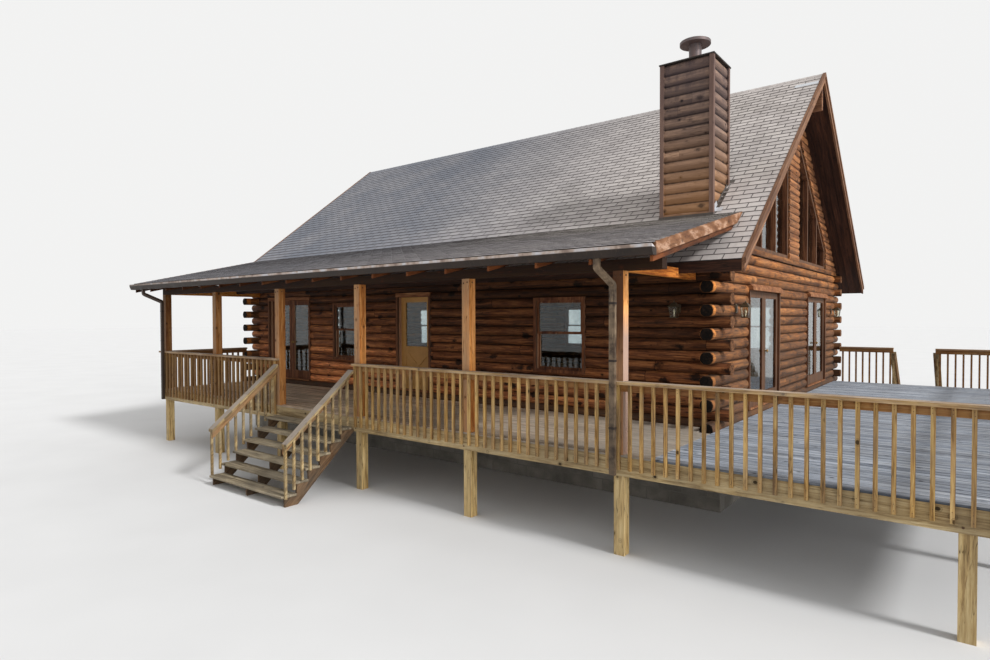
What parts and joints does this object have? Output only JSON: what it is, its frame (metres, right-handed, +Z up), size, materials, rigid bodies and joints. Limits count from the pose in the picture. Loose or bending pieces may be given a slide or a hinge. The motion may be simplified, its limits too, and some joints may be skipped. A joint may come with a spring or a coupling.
{
  "type": "log cabin",
  "caption": "Log cabin with a steep gable roof, a roofed front porch, an open side deck, a boxed chimney and opening doors.",
  "frame": {"origin": "on the ground, under the middle of the log house, at the underside of the middle pier", "axes": "+X along the ridge to the end with the side deck, +Y to the back, away from the front porch, +Z up"},
  "size_m": [16.965, 14.336, 7.8582],
  "materials": {
    "foundation_block": "rough block wall",
    "stained_logs": "weathered red-brown stain, satin",
    "log_siding": "weathered red-brown stain, satin",
    "floor_boards": "worn boards, satin",
    "window_frame": "dark stain, satin",
    "door_frame": "dark stain, satin",
    "hardware": "aged",
    "tan_door": "tan paint, satin",
    "glazed_door": "dark stain, satin",
    "window_glass": "clear",
    "shingles": "grey-brown asphalt shingles, matte",
    "trim_boards": "dark stain, weathered",
    "porch_timber": "orange-brown stain, weathered",
    "gutter_metal": "brown enamel",
    "dark_metal": "black, matte",
    "deck_boards": "bare, weathered grey",
    "rail_timber": "bare, weathered"
  },
  "bodies": {
    "house": {"foundation": "foundation_block", "sill_logs": "stained_logs", "house_floor": "floor_boards", "front_wall_left": "stained_logs", "front_wall_middle": "stained_logs", "front_wall_right": "stained_logs", "front_wall_top": "stained_logs", "back_wall": "stained_logs", "left_wall": "stained_logs", "right_wall_front": "stained_logs", "right_wall_middle": "stained_logs", "right_wall_back": "stained_logs", "right_wall_top": "stained_logs", "right_gable_column": "log_siding", "right_gable_front": "log_siding", "right_gable_back": "log_siding", "left_gable": "log_siding", "window_frames": "window_frame", "gable_window_frames": "window_frame", "fixed_glass": "window_glass", "door_jambs": "door_frame", "door_heads": "door_frame", "door_hinges": "hardware", "fixed_door_leaves": "glazed_door", "main_roof_front": "shingles", "main_roof_back": "shingles", "rake_boards": "trim_boards", "porch_roof": "shingles", "porch_rafters": "porch_timber", "porch_beams": "porch_timber", "porch_posts": "porch_timber", "porch_gutter": "gutter_metal", "downspouts": "gutter_metal", "chimney": "log_siding", "chimney_cap": "dark_metal", "porch_deck": "deck_boards", "side_deck": "deck_boards", "deck_rims": "rail_timber", "deck_posts": "rail_timber", "front_rails": "rail_timber", "end_rails": "rail_timber", "back_rails": "rail_timber", "stair_treads": "rail_timber", "stair_stringers": "rail_timber", "stair_rails": "rail_timber", "wall_lanterns": "dark_metal"},
    "front_door": {"front_door": "tan_door", "front_door_glass": "window_glass", "front_door_handle": "hardware"},
    "glazed_porch_door": {"glazed_porch_door": "glazed_door", "glazed_porch_door_glass": "window_glass", "glazed_porch_door_handle": "hardware"},
    "front_side_door": {"front_side_door": "glazed_door", "front_side_door_glass": "window_glass", "front_side_door_handle": "hardware"},
    "back_side_door": {"back_side_door": "glazed_door", "back_side_door_glass": "window_glass", "back_side_door_handle": "hardware"}
  },
  "joints": [
    {"name": "front_door_hinge", "type": "hinge", "parent": "house", "child": "front_door", "pos_m": [-0.6565, -4.453, 2.4], "axis": [0, 0, 1], "range_deg": [0, 90]},
    {"name": "glazed_porch_door_hinge", "type": "hinge", "parent": "house", "child": "glazed_porch_door", "pos_m": [-3.8835, -4.453, 2.4], "axis": [0, 0, -1], "range_deg": [0, 90]},
    {"name": "front_side_door_hinge", "type": "hinge", "parent": "house", "child": "front_side_door", "pos_m": [6.263, -1.2585, 2.4], "axis": [0, 0, -1], "range_deg": [0, 90]},
    {"name": "back_side_door_hinge", "type": "hinge", "parent": "house", "child": "back_side_door", "pos_m": [6.263, 1.2585, 2.4], "axis": [0, 0, 1], "range_deg": [0, 90]}
  ]
}
